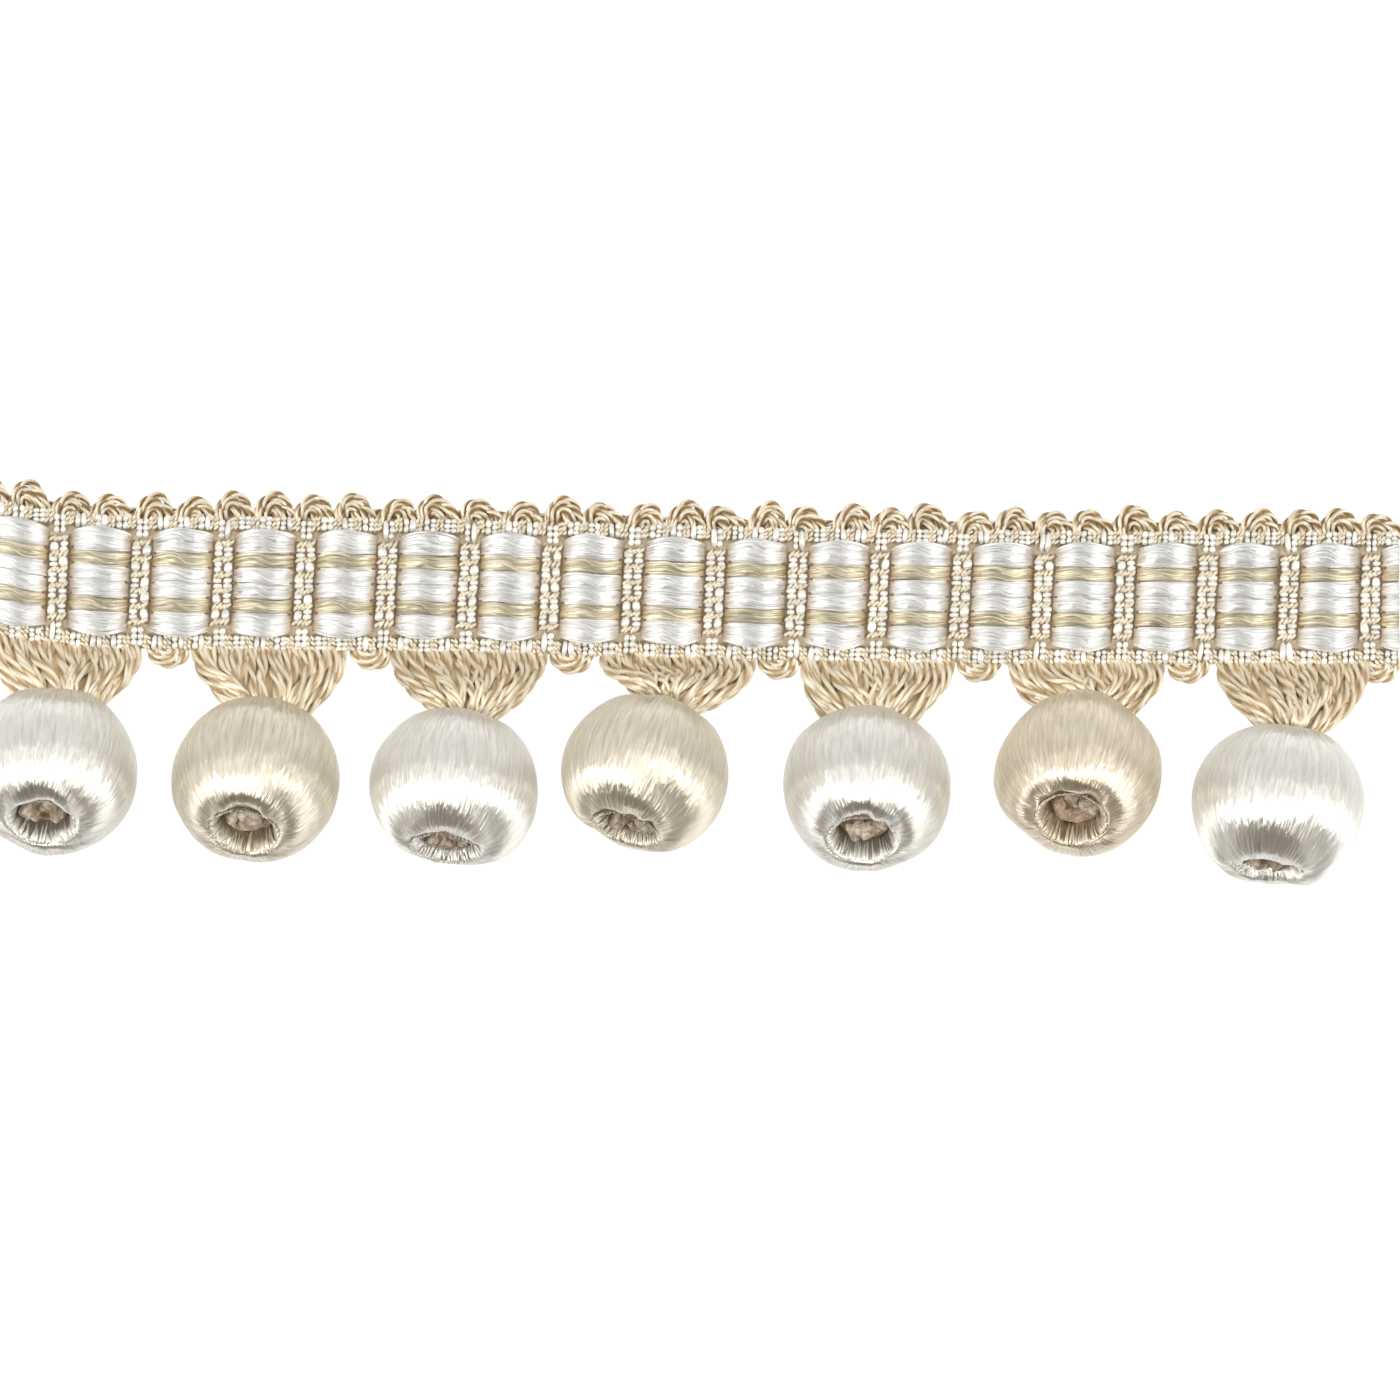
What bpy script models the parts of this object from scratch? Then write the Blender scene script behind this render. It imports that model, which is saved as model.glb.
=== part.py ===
# Beaded fringe trim, lying on its back as it is seen from above. Metres, +Z up.
# +X runs along the trim, +Y points to the picots, and -Y to the beads.
# The origin is the middle of the heading's flat back face.

import math
import random

import bmesh
import bpy
from mathutils import Matrix, Vector

# Heading: a woven tape with blocks of floating floss between upright ribs
TAPE_HALF_LENGTH = 0.1075
TAPE_HALF_WIDTH = 0.0099
SATIN_HALF_WIDTH = 0.0078
CELL_PITCH = 0.012285
FIRST_RIB = -0.1055
RIB_COUNT = 18

# Relief of the tape's face: heights over its back, and places across a rib and its block of floss
SELVAGE_HEIGHT = 0.0010
BORDER_HEIGHT = 0.0015
BORDER_ROUNDING = 0.0003
GROOVE_HEIGHT = 0.0012
RIB_HEIGHT = 0.0017
RIB_HALF_WIDTH = 0.0011
RIB_GROOVE_OFFSET = 0.0016
SATIN_CROWN_HEIGHT = 0.0019
SATIN_MIDDLE_DIP = 0.0001
SATIN_SHOULDER = 0.0055
CROWN_START = 0.0038
CROWN_END = 0.0085

# The tape lies in a slight curve: a slow fall from left to right and a lift at its left end
FALL = 0.0024
FALL_MIDDLE = -0.010
FALL_REACH = 0.045
RIGHT_LEVEL = -0.0012
LIFT = 0.0024
LIFT_REACH = 0.013

# Cord strips along both edges, which the loops and the cords grow from
PART_GAP = 0.0003
STRIP_WIDTH = 0.0011
STRIP_THICKNESS = 0.0013
STRIP_STEP = 0.006
FOOT_WIDTH = 0.00096
CORD_HALF_SIDE = 0.00048
FLOOR_CLEARANCE = 0.00002

# Arches of cord: the picots along the top edge and the small loops between the skirts
ARCH_STEPS = 4
LOOP_HALF_SPAN = 0.0021
LOOP_CORD_SHARE = 1.2
PICOT_PITCH = CELL_PITCH / 2
FIRST_PICOT = -0.10435
PICOT_COUNT = 35
PICOT_RISE = 0.0016
PICOT_UNEVENNESS = 0.0004

# Skirts: cords that fan from the lower edge into the beads, and a small loop beside each
CORDS_IN_SKIRT = 16
CORD_STATIONS = (0, 0.3, 0.6, 0.85, 1)
SKIRT_HALF_WIDTH = 0.01185
LOOP_OFFSET = 0.01535
LAST_LOOP_INSET = 0.0030
LOOP_DROP = 0.0014
CORD_TAPER = (1, 0.9, 0.62, 0.5)
NECK_RING = 0.0029
NECK_DEPTH = 0.0006
LEAD_OUT = 0.0032
LEAD_IN = 0.0022
LEAD_IN_RING = 0.0066
OVER_RISE = 0.0030
BULGE = 0.0018

# Beads: flattened balls wound from hole to hole, with rolled lips
BEAD_FLATTENING = 0.93
BEAD_SEGMENTS = 18
BEAD_OUTER_STEPS = 10
LIP_OUTER_RADIUS = 0.0063
LIP_CREST_RADIUS = 0.0056
LIP_INNER_RADIUS = 0.0048
LIP_CREST_REACH = 0.01055
LIP_INNER_REACH = 0.0102
BORE_REACH = 0.0088
BORE_RADIUS = 0.0039
FLAT_SPOT_DEPTH = 0.00025

# Bundled cord ends that fill a bead's bore
PLUG_RADIUS = 0.0035
PLUG_SEGMENTS = 12
PLUG_HEAD_RADIUS = 0.0046
PLUG_HEAD_REACH = 0.0118
PLUG_HEAD_HEIGHT = 0.0006
PLUG_SHOULDER_REACH = 0.0098
PLUG_END_REACH = 0.0080
KNOT_RADIUS = 0.0024
KNOT_SHOULDER_REACH = 0.0088
KNOT_REACH = 0.0095

# One row for each skirt and its bead, from left to right. The tilt is how far the bead's lower
# hole tips up from the surface, and the lean is how far it swings to the right, in degrees.
BEAD_COLUMNS = ("root_x", "bead_x", "bead_y", "radius", "tilt", "lean", "floss")
BEAD_ROWS = (
    (-0.0922, -0.0930, -0.0268, 0.0127, 40, -4, "white"),
    (-0.0616, -0.0628, -0.0282, 0.0127, 39, -8, "ivory"),
    (-0.0317, -0.0334, -0.0295, 0.0128, 25, -7, "white"),
    (-0.0005, -0.0051, -0.0271, 0.0125, 25, -18, "ivory"),
    (0.0295, 0.0274, -0.0295, 0.0125, 41, -5, "white"),
    (0.0607, 0.0587, -0.0273, 0.0128, 47, -12, "cream"),
    (0.0917, 0.0883, -0.0321, 0.0130, 18, -11, "white"),
)
BEADS = [dict(zip(BEAD_COLUMNS, row)) for row in BEAD_ROWS]

SHARP_EDGE_DEGREES = 50
SMALLEST_EDGE = 0.00002

# Colours as linear red, green and blue
SATIN_WHITE = (0.74, 0.76, 0.72)
CORD_CREAM = (0.56, 0.45, 0.29)
FLOSS_COLOURS = {
    "white": (0.76, 0.74, 0.68),
    "ivory": (0.63, 0.58, 0.46),
    "cream": (0.72, 0.63, 0.48),
}


def clear_scene():
    for old in list(bpy.data.objects):
        bpy.data.objects.remove(old, do_unlink=True)


def make_material(name, colour, roughness, sheen):
    material = bpy.data.materials.new(name)
    material.use_nodes = True
    shader = material.node_tree.nodes["Principled BSDF"]
    shader.inputs["Base Color"].default_value = (*colour, 1)
    shader.inputs["Roughness"].default_value = roughness
    shader.inputs["Metallic"].default_value = 0
    shader.inputs["Sheen Weight"].default_value = sheen
    material.diffuse_color = (*colour, 1)
    return material


def shade(mesh):
    mesh.shade_smooth()
    mesh.set_sharp_from_angle(angle=math.radians(SHARP_EDGE_DEGREES))


def add_object(name, bm, material=None):
    bmesh.ops.recalc_face_normals(bm, faces=bm.faces[:])
    mesh = bpy.data.meshes.new(name)
    bm.to_mesh(mesh)
    bm.free()
    shade(mesh)
    if material:
        mesh.materials.append(material)
    placed = bpy.data.objects.new(name, mesh)
    bpy.context.scene.collection.objects.link(placed)
    return placed


def unite(target, helper):
    """Joins the helper to the target with an exact union, removes it and clears slivers."""
    union = target.modifiers.new("union", "BOOLEAN")
    union.operation = "UNION"
    union.solver = "EXACT"
    union.object = helper
    bpy.context.view_layer.update()
    graph = bpy.context.evaluated_depsgraph_get()
    joined = bpy.data.meshes.new_from_object(target.evaluated_get(graph))
    target.modifiers.clear()
    target.data = joined
    joined.name = target.name
    bm = bmesh.new()
    bm.from_mesh(joined)
    bmesh.ops.triangulate(bm, faces=bm.faces[:])
    bmesh.ops.remove_doubles(bm, verts=bm.verts[:], dist=SMALLEST_EDGE)
    bmesh.ops.dissolve_degenerate(bm, dist=SMALLEST_EDGE / 4, edges=bm.edges[:])
    bmesh.ops.triangulate(bm, faces=bm.faces[:])
    bm.to_mesh(joined)
    bm.free()
    shade(joined)
    bpy.data.objects.remove(helper, do_unlink=True)


def centre_line(x):
    """Y of the tape's middle line at x."""
    fall = FALL * (0.5 - 0.5 * math.tanh((x - FALL_MIDDLE) / FALL_REACH))
    lift = LIFT * math.exp(-(((x + TAPE_HALF_LENGTH) / LIFT_REACH) ** 2))
    return RIGHT_LEVEL + fall + lift


def grow_cord(bm, foot_ring, points, shares, end_ring=None):
    """Grows a square cord from a ring of corners through the points, to a cap or to another ring."""
    rings = [foot_ring]
    for index, share in enumerate(shares, start=1):
        before = points[index - 1]
        after = points[min(index + 1, len(points) - 1)]
        along = (after - before).normalized()
        side = along.cross(Vector((0, 0, 1))).normalized()
        up = side.cross(along)
        half = CORD_HALF_SIDE * share
        corners = (-side - up, side - up, side + up, -side + up)
        rings.append([bm.verts.new(points[index] + corner * half) for corner in corners])
    if end_ring:
        rings.append(end_ring)
    else:
        bm.faces.new(rings[-1])
    for first, second in zip(rings, rings[1:]):
        for corner in range(4):
            following = (corner + 1) % 4
            bm.faces.new((first[corner], first[following], second[following], second[corner]))


def spin_profile(bm, profile, segments, closed):
    """Turns (radius, height) points round the Z axis."""
    verts = [bm.verts.new((radius, 0, height)) for radius, height in profile]
    edges = [bm.edges.new(pair) for pair in zip(verts, verts[1:])]
    if closed:
        edges.append(bm.edges.new((verts[-1], verts[0])))
    bmesh.ops.spin(
        bm,
        geom=verts + edges,
        cent=(0, 0, 0),
        axis=(0, 0, 1),
        angle=2 * math.pi,
        steps=segments,
        use_merge=True,
    )
    bmesh.ops.remove_doubles(bm, verts=bm.verts[:], dist=1e-6)


def fill_between(bm, near, far):
    """Fills the band between two rows of corners with triangles. Both rows run to +X."""
    near, far = list(near), list(far)
    while len(near) > 1 or len(far) > 1:
        if len(far) == 1 or (len(near) > 1 and near[1].co.x <= far[1].co.x):
            bm.faces.new((near[0], near[1], far[0]))
            near.pop(0)
        else:
            bm.faces.new((near[0], far[1], far[0]))
            far.pop(0)


def build_strip(left, right, inner, outer, foot_centres):
    """A flat strip along the tape's edge, left open where cords grow from its outer side.

    Returns its bmesh and, for each foot, the two rings of corners that a cord may start from:
    one for a cord that sets out towards +Y and one for a cord that sets out towards -Y.
    """
    bm = bmesh.new()
    steps = math.ceil((right - left) / STRIP_STEP)
    inner_stations = [left + (right - left) * step / steps for step in range(steps + 1)]
    outer_stations = [left]
    for x in foot_centres:
        outer_stations += [x - FOOT_WIDTH / 2, x + FOOT_WIDTH / 2]
    outer_stations.append(right)

    def row(stations, offset, height):
        return [bm.verts.new((x, centre_line(x) + offset, height)) for x in stations]

    inner_low = row(inner_stations, inner, 0)
    inner_high = row(inner_stations, inner, STRIP_THICKNESS)
    outer_low = row(outer_stations, outer, 0)
    outer_high = row(outer_stations, outer, STRIP_THICKNESS)
    fill_between(bm, inner_low, outer_low)
    fill_between(bm, inner_high, outer_high)
    for step in range(steps):
        low = inner_low[step : step + 2]
        bm.faces.new(low + inner_high[step : step + 2][::-1])
    for end in (0, -1):
        bm.faces.new((inner_low[end], inner_high[end], outer_high[end], outer_low[end]))
    for start in range(0, len(outer_stations), 2):
        low = outer_low[start : start + 2]
        bm.faces.new(low + outer_high[start : start + 2][::-1])
    rings = []
    for start in range(1, len(outer_stations) - 1, 2):
        low_left, low_right = outer_low[start : start + 2]
        high_left, high_right = outer_high[start : start + 2]
        upwards = [low_left, low_right, high_right, high_left]
        downwards = [low_right, low_left, high_left, high_right]
        rings.append((upwards, downwards))
    return bm, rings


def relief_columns():
    """(x, height of the satin zone) along the tape: ribs with a groove on both sides."""
    cell_profile = (
        (-RIB_GROOVE_OFFSET, GROOVE_HEIGHT),
        (-RIB_HALF_WIDTH, RIB_HEIGHT),
        (RIB_HALF_WIDTH, RIB_HEIGHT),
        (RIB_GROOVE_OFFSET, GROOVE_HEIGHT),
        (CROWN_START, SATIN_CROWN_HEIGHT),
        (CROWN_END, SATIN_CROWN_HEIGHT),
    )
    columns = [(-TAPE_HALF_LENGTH, GROOVE_HEIGHT)]
    for rib in range(RIB_COUNT):
        rib_x = FIRST_RIB + CELL_PITCH * rib
        columns += [(rib_x + offset, height) for offset, height in cell_profile]
    columns = [column for column in columns if column[0] < TAPE_HALF_LENGTH - BORDER_ROUNDING]
    return columns + [(TAPE_HALF_LENGTH, GROOVE_HEIGHT)]


def relief_rows():
    """(y from the middle line, fixed height or None where the satin height holds)."""
    upper = (
        (SATIN_SHOULDER, None),
        (SATIN_HALF_WIDTH, GROOVE_HEIGHT),
        (SATIN_HALF_WIDTH + BORDER_ROUNDING, BORDER_HEIGHT),
        (TAPE_HALF_WIDTH - BORDER_ROUNDING, BORDER_HEIGHT),
        (TAPE_HALF_WIDTH, SELVAGE_HEIGHT),
    )
    lower = tuple((-y, height) for y, height in reversed(upper))
    return lower + ((0, None),) + upper


def build_heading(material):
    bm = bmesh.new()
    rows = relief_rows()
    grid = []
    for x, satin_height in relief_columns():
        middle = centre_line(x)
        column = []
        for y, fixed_height in rows:
            height = fixed_height or satin_height - (SATIN_MIDDLE_DIP if y == 0 else 0)
            column.append(bm.verts.new((x, middle + y, height)))
        grid.append(column)
    for first, second in zip(grid, grid[1:]):
        for row in range(len(rows) - 1):
            bm.faces.new((first[row], second[row], second[row + 1], first[row + 1]))
    rim = [column[0] for column in grid] + grid[-1][1:]
    rim += [column[-1] for column in reversed(grid[:-1])] + grid[0][-2:0:-1]
    back = [bm.verts.new((vert.co.x, vert.co.y, 0)) for vert in rim]
    for index, vert in enumerate(rim):
        following = (index + 1) % len(rim)
        bm.faces.new((vert, back[index], back[following], rim[following]))
    bm.faces.new(back[::-1])
    return add_object("heading", bm, material)


def grow_loop(bm, x, foot, reach, left_rings, right_rings):
    """An arch of cord from the right foot over to the left one; a negative reach hangs down."""
    points = []
    for step in range(ARCH_STEPS + 1):
        angle = math.pi * step / ARCH_STEPS
        y = centre_line(x) + foot + reach * math.sin(angle)
        points.append(Vector((x + LOOP_HALF_SPAN * math.cos(angle), y, STRIP_THICKNESS / 2)))
    start, end = (0, 1) if reach > 0 else (1, 0)
    shares = [LOOP_CORD_SHARE] * (ARCH_STEPS - 1)
    grow_cord(bm, right_rings[start], points, shares, left_rings[end])


def build_picot_edge(material):
    inner = TAPE_HALF_WIDTH + PART_GAP
    outer = inner + STRIP_WIDTH
    centres = [FIRST_PICOT + PICOT_PITCH * picot for picot in range(PICOT_COUNT)]
    feet = [x + side * LOOP_HALF_SPAN for x in centres for side in (-1, 1)]
    bm, rings = build_strip(-TAPE_HALF_LENGTH, TAPE_HALF_LENGTH, inner, outer, feet)
    unevenness = random.Random(11)
    for picot, x in enumerate(centres):
        rise = PICOT_RISE + unevenness.uniform(-PICOT_UNEVENNESS, PICOT_UNEVENNESS)
        grow_loop(bm, x, outer, rise, rings[2 * picot], rings[2 * picot + 1])
    return add_object("picot_edge", bm, material)


def bead_frame(bead):
    """The bead's placement: local +Z runs from its upper hole to its lower hole."""
    tilt = math.radians(bead["tilt"])
    lean = math.radians(bead["lean"])
    axis = Vector((math.sin(lean) * math.cos(tilt), -math.cos(lean) * math.cos(tilt), math.sin(tilt)))
    side = Vector((math.cos(lean), math.sin(lean), 0))
    up = axis.cross(side)
    half_height = bead["radius"] * BEAD_FLATTENING
    reach_down = math.hypot(bead["radius"] * math.cos(tilt), half_height * math.sin(tilt))
    frame = Matrix((side, up, axis)).transposed().to_4x4()
    frame.translation = (bead["bead_x"], bead["bead_y"], reach_down - FLAT_SPOT_DEPTH)
    return frame


def bezier(first, second, third, fourth, share):
    rest = 1 - share
    return (
        first * rest**3
        + second * (3 * rest**2 * share)
        + third * (3 * rest * share**2)
        + fourth * share**3
    )


def cord_root_x(bead, index):
    return bead["root_x"] + SKIRT_HALF_WIDTH * ((2 * index + 1) / CORDS_IN_SKIRT - 1)


def cord_route(bead, frame, index, foot):
    """Points of one cord, from the strip into the mouth of the bead's upper hole."""
    root_x = cord_root_x(bead, index)
    spread = (root_x - bead["root_x"]) / SKIRT_HALF_WIDTH
    root = Vector((root_x, centre_line(root_x) + foot, STRIP_THICKNESS / 2))
    over = index % 2 == 0
    across = (index + 0.5) / CORDS_IN_SKIRT
    angle = math.pi * (1 - across) * (1 if over else -1)
    spoke = Vector((math.cos(angle), math.sin(angle), 0))
    neck = frame @ (spoke * NECK_RING + Vector((0, 0, NECK_DEPTH - PLUG_HEAD_REACH)))
    lead_in = frame @ (spoke * LEAD_IN_RING + Vector((0, 0, -PLUG_HEAD_REACH - LEAD_IN)))
    lead_out = root + Vector((spread * BULGE, -LEAD_OUT, OVER_RISE if over else 0))
    route = [bezier(root, lead_out, lead_in, neck, station) for station in CORD_STATIONS]
    for point in route[1:-1]:
        point.z = max(point.z, CORD_HALF_SIDE + FLOOR_CLEARANCE)
    return route


def build_plug(name, frame):
    """The bundled cord ends that fill the bore and end in a knot in the lower hole."""
    profile = (
        (0, -PLUG_HEAD_REACH),
        (PLUG_HEAD_RADIUS, -PLUG_HEAD_REACH),
        (PLUG_HEAD_RADIUS, PLUG_HEAD_HEIGHT - PLUG_HEAD_REACH),
        (PLUG_RADIUS, -PLUG_SHOULDER_REACH),
        (PLUG_RADIUS, PLUG_END_REACH),
        (KNOT_RADIUS, KNOT_SHOULDER_REACH),
        (0, KNOT_REACH),
    )
    bm = bmesh.new()
    spin_profile(bm, profile, PLUG_SEGMENTS, closed=False)
    bmesh.ops.transform(bm, matrix=frame, verts=bm.verts[:])
    return add_object(name, bm)


def build_skirt(index, material):
    bead = BEADS[index]
    frame = bead_frame(bead)
    inner = -TAPE_HALF_WIDTH - PART_GAP
    outer = inner - STRIP_WIDTH
    left = bead["root_x"] - SKIRT_HALF_WIDTH
    right = TAPE_HALF_LENGTH
    if index == 0:
        left = -TAPE_HALF_LENGTH
    if index < len(BEADS) - 1:
        right = BEADS[index + 1]["root_x"] - SKIRT_HALF_WIDTH - PART_GAP
    loop_x = min(bead["root_x"] + LOOP_OFFSET, TAPE_HALF_LENGTH - LAST_LOOP_INSET)
    feet = [cord_root_x(bead, cord) for cord in range(CORDS_IN_SKIRT)]
    feet += [loop_x - LOOP_HALF_SPAN, loop_x + LOOP_HALF_SPAN]
    bm, rings = build_strip(left, right, inner, outer, feet)
    for cord in range(CORDS_IN_SKIRT):
        grow_cord(bm, rings[cord][1], cord_route(bead, frame, cord, outer), CORD_TAPER)
    grow_loop(bm, loop_x, outer, -LOOP_DROP, rings[-2], rings[-1])
    skirt = add_object(f"skirt_{index + 1}", bm, material)
    unite(skirt, build_plug(f"plug_{index + 1}", frame))
    return skirt


def bead_profile(radius):
    """Closed (radius, height) outline of half a bead, from the lower lip round to the bore."""
    half_height = radius * BEAD_FLATTENING
    lip_latitude = math.acos(LIP_OUTER_RADIUS / radius)
    outline = []
    for step in range(BEAD_OUTER_STEPS + 1):
        latitude = lip_latitude * (2 * step / BEAD_OUTER_STEPS - 1)
        outline.append((radius * math.cos(latitude), half_height * math.sin(latitude)))
    lip = [
        (LIP_CREST_RADIUS, LIP_CREST_REACH),
        (LIP_INNER_RADIUS, LIP_INNER_REACH),
        (BORE_RADIUS, BORE_REACH),
    ]
    return outline + lip + [(r, -height) for r, height in reversed(lip)]


def build_bead(index, material):
    bead = BEADS[index]
    frame = bead_frame(bead)
    bm = bmesh.new()
    spin_profile(bm, bead_profile(bead["radius"]), BEAD_SEGMENTS, closed=True)
    to_local = frame.inverted()
    cut = bmesh.ops.bisect_plane(
        bm,
        geom=bm.verts[:] + bm.edges[:] + bm.faces[:],
        dist=1e-7,
        plane_co=to_local @ Vector((0, 0, 0)),
        plane_no=to_local.to_3x3() @ Vector((0, 0, -1)),
        clear_outer=True,
    )
    spot_edges = [part for part in cut["geom_cut"] if isinstance(part, bmesh.types.BMEdge)]
    bmesh.ops.contextual_create(bm, geom=spot_edges)
    placed = add_object(f"ball_{index + 1}", bm, material)
    placed.matrix_world = frame
    return placed


def main():
    clear_scene()
    cord = make_material("twisted_cord", CORD_CREAM, 0.55, 0.3)
    build_heading(make_material("satin_tape", SATIN_WHITE, 0.38, 0.2))
    build_picot_edge(cord)
    floss = {
        name: make_material(f"{name}_floss", colour, 0.35, 0.2)
        for name, colour in FLOSS_COLOURS.items()
    }
    for index, bead in enumerate(BEADS):
        build_skirt(index, cord)
        build_bead(index, floss[bead["floss"]])


main()
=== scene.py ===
import math

import bmesh
import bpy
import numpy as np
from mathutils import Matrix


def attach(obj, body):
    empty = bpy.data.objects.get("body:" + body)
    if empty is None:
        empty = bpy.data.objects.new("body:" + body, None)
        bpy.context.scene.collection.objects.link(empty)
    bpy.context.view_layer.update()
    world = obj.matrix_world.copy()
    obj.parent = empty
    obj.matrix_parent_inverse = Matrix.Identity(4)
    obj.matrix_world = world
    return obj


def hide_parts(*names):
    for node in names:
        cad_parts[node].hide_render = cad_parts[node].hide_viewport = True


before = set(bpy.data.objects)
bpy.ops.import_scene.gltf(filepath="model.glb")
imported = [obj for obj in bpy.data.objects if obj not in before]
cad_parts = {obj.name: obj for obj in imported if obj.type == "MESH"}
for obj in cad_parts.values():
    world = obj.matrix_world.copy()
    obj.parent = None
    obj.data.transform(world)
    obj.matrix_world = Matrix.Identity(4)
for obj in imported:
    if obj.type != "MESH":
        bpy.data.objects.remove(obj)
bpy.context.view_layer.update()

# Every length below is in millimetres. makePiece turns the finished points into metres.
# +X runs along the trim, +Y points to the picots, -Y to the balls, and the tape lies on z = 0.

millimetre = 0.001
fullTurn = 2 * math.pi

tapeLie = {
    "halfLength": 107.5,
    "fall": 2.4,  # the tape sinks slowly from left to right
    "fallMiddle": -10,
    "fallReach": 45,
    "rightLevel": -1.2,
    "lift": 2.4,  # and turns up at its left end
    "liftReach": 13,
    "firstRib": -105.5,
    "ribPitch": 12.285,
    "ribCount": 18,
    "ribLean": 0.052,  # the ribs lean to the right towards the picots
    "endSquareness": 12,  # and stand upright only at the cut ends
}


def tapeMiddle(x):
    fall = tapeLie["fall"] * (0.5 - 0.5 * np.tanh((x - tapeLie["fallMiddle"]) / tapeLie["fallReach"]))
    lift = tapeLie["lift"] * np.exp(-(((x + tapeLie["halfLength"]) / tapeLie["liftReach"]) ** 2))
    return tapeLie["rightLevel"] + fall + lift


def leanTape(hank):
    for points in hank["points"]:
        x = points[:, 0]
        upright = np.clip(np.abs(x) / tapeLie["halfLength"], 0, 1) ** tapeLie["endSquareness"]
        points[:, 0] += tapeLie["ribLean"] * (points[:, 1] - tapeMiddle(x)) * (1 - upright)
    return hank


# Shared ways of laying thread

def shake(maker, reach):
    return maker.uniform(-reach, reach)


def startHank():
    return {"points": [], "faces": [], "corners": [], "count": 0}


def placesOf(x, y, z):
    return np.stack(np.broadcast_arrays(x, y, z), axis=-1)


def layGrid(hank, grid, along, closed=True):
    # grid holds rows of points across a strand; closed joins the last point of a row to its first
    rows, across = grid.shape[:2]
    columns = across if closed else across - 1
    row, column = np.meshgrid(np.arange(rows - 1), np.arange(columns), indexing="ij")
    beside = (column + 1) % across
    first, second = row * across, (row + 1) * across
    faces = np.stack([first + column, first + beside, second + beside, second + column], axis=-1)
    along = np.asarray(along, float)
    low, high = along[row], along[row + 1]
    left, right = column / columns, (column + 1) / columns
    corners = np.stack([left, low, right, low, right, high, left, high], axis=-1)
    hank["faces"].append(faces.reshape(-1, 4) + hank["count"])
    hank["corners"].append(corners.reshape(-1, 2))
    hank["points"].append(grid.reshape(-1, 3))
    hank["count"] += rows * across


def smoothLine(points, count):
    points = np.asarray(points, float)
    padded = np.vstack([2 * points[0] - points[1], points, 2 * points[-1] - points[-2]])
    place = np.linspace(0, len(points) - 1, count)
    index = np.minimum(place.astype(int), len(points) - 2)
    share = (place - index)[:, None]
    before, start, end, after = (padded[index + step] for step in range(4))
    bend = (2 * before - 5 * start + 4 * end - after) * share**2
    twist = (3 * start - before - 3 * end + after) * share**3
    return 0.5 * (2 * start + (end - before) * share + bend + twist)


def evenSteps(line, step):
    lengths = np.concatenate([[0], np.cumsum(np.linalg.norm(np.diff(line, axis=0), axis=1))])
    place = np.linspace(0, lengths[-1], max(3, round(lengths[-1] / step) + 1))
    return np.stack([np.interp(place, lengths, line[:, axis]) for axis in range(3)], axis=1), place


def unit(vectors):
    return vectors / np.linalg.norm(vectors, axis=-1, keepdims=True)


def layStrand(hank, line, along, radius, sides, turn=0.0, offset=0.0):
    # radius may change along the line; turn and offset carry the strand round the line
    ahead = unit(np.gradient(line, axis=0))
    side = unit(np.cross(ahead, (0, 0, 1)))
    up = np.cross(side, ahead)
    around = -np.arange(sides) * fullTurn / sides
    radius, turn = (np.broadcast_to(value, len(line))[:, None] for value in (radius, turn))
    outwards = offset * radius + radius * np.cos(around)
    sideways = radius * np.sin(around)
    x = outwards * np.cos(turn) - sideways * np.sin(turn)
    y = outwards * np.sin(turn) + sideways * np.cos(turn)
    grid = line[:, None] + side[:, None] * x[..., None] + up[:, None] * y[..., None]
    layGrid(hank, grid, along)


def layCord(hank, line, cord, phase, taper=None):
    # two plies twisted round one another
    line, place = evenSteps(line, cord["step"])
    size = np.ones(len(line)) if taper is None else np.interp(np.linspace(0, 1, len(line)), *taper)
    for ply in range(cord["plies"]):
        turn = phase + fullTurn * (ply / cord["plies"] + place / cord["pitch"])
        radius = size * cord["plyRadius"]
        layStrand(hank, line, place + 40 * phase, radius, cord["sides"], turn, cord["offset"])


def ringNoise(maker, cellsAround, cellsAlong, around, along):
    # smooth noise that closes round the ball; around and along run from 0 to 1
    knots = maker.uniform(-1, 1, (cellsAlong + 1, cellsAround))
    column, row = around * cellsAround, along * cellsAlong
    left, low = np.floor(column).astype(int), np.minimum(np.floor(row).astype(int), cellsAlong - 1)
    acrossShare, alongShare = column - left, row - low
    acrossShare = acrossShare * acrossShare * (3 - 2 * acrossShare)
    alongShare = alongShare * alongShare * (3 - 2 * alongShare)
    left, right = left % cellsAround, (left + 1) % cellsAround
    below = knots[low, left] * (1 - acrossShare) + knots[low, right] * acrossShare
    above = knots[low + 1, left] * (1 - acrossShare) + knots[low + 1, right] * acrossShare
    return below * (1 - alongShare) + above * alongShare


def addObject(name, data):
    made = bpy.data.objects.new(name, data)
    bpy.context.scene.collection.objects.link(made)
    return made


def makePiece(name, hank, material, nodes=(), weld=False):
    mesh = bpy.data.meshes.new(name)
    points = np.concatenate(hank["points"]) * millimetre
    mesh.from_pydata(points.tolist(), [], np.concatenate(hank["faces"]).tolist())
    layer = mesh.uv_layers.new(name="thread")
    layer.data.foreach_set("uv", np.concatenate(hank["corners"]).astype(np.float32).reshape(-1))
    if weld:  # joins points that coincide
        shape = bmesh.new()
        shape.from_mesh(mesh)
        bmesh.ops.remove_doubles(shape, verts=shape.verts[:], dist=0.001 * millimetre)
        shape.to_mesh(mesh)
        shape.free()
    mesh.shade_smooth()
    mesh.materials.append(material)
    piece = addObject(name, mesh)
    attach(piece, "root")
    if nodes:
        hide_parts(*nodes)
    print(name, "has", 2 * len(mesh.polygons), "triangles")
    return piece


# Yarn finishes

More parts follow.
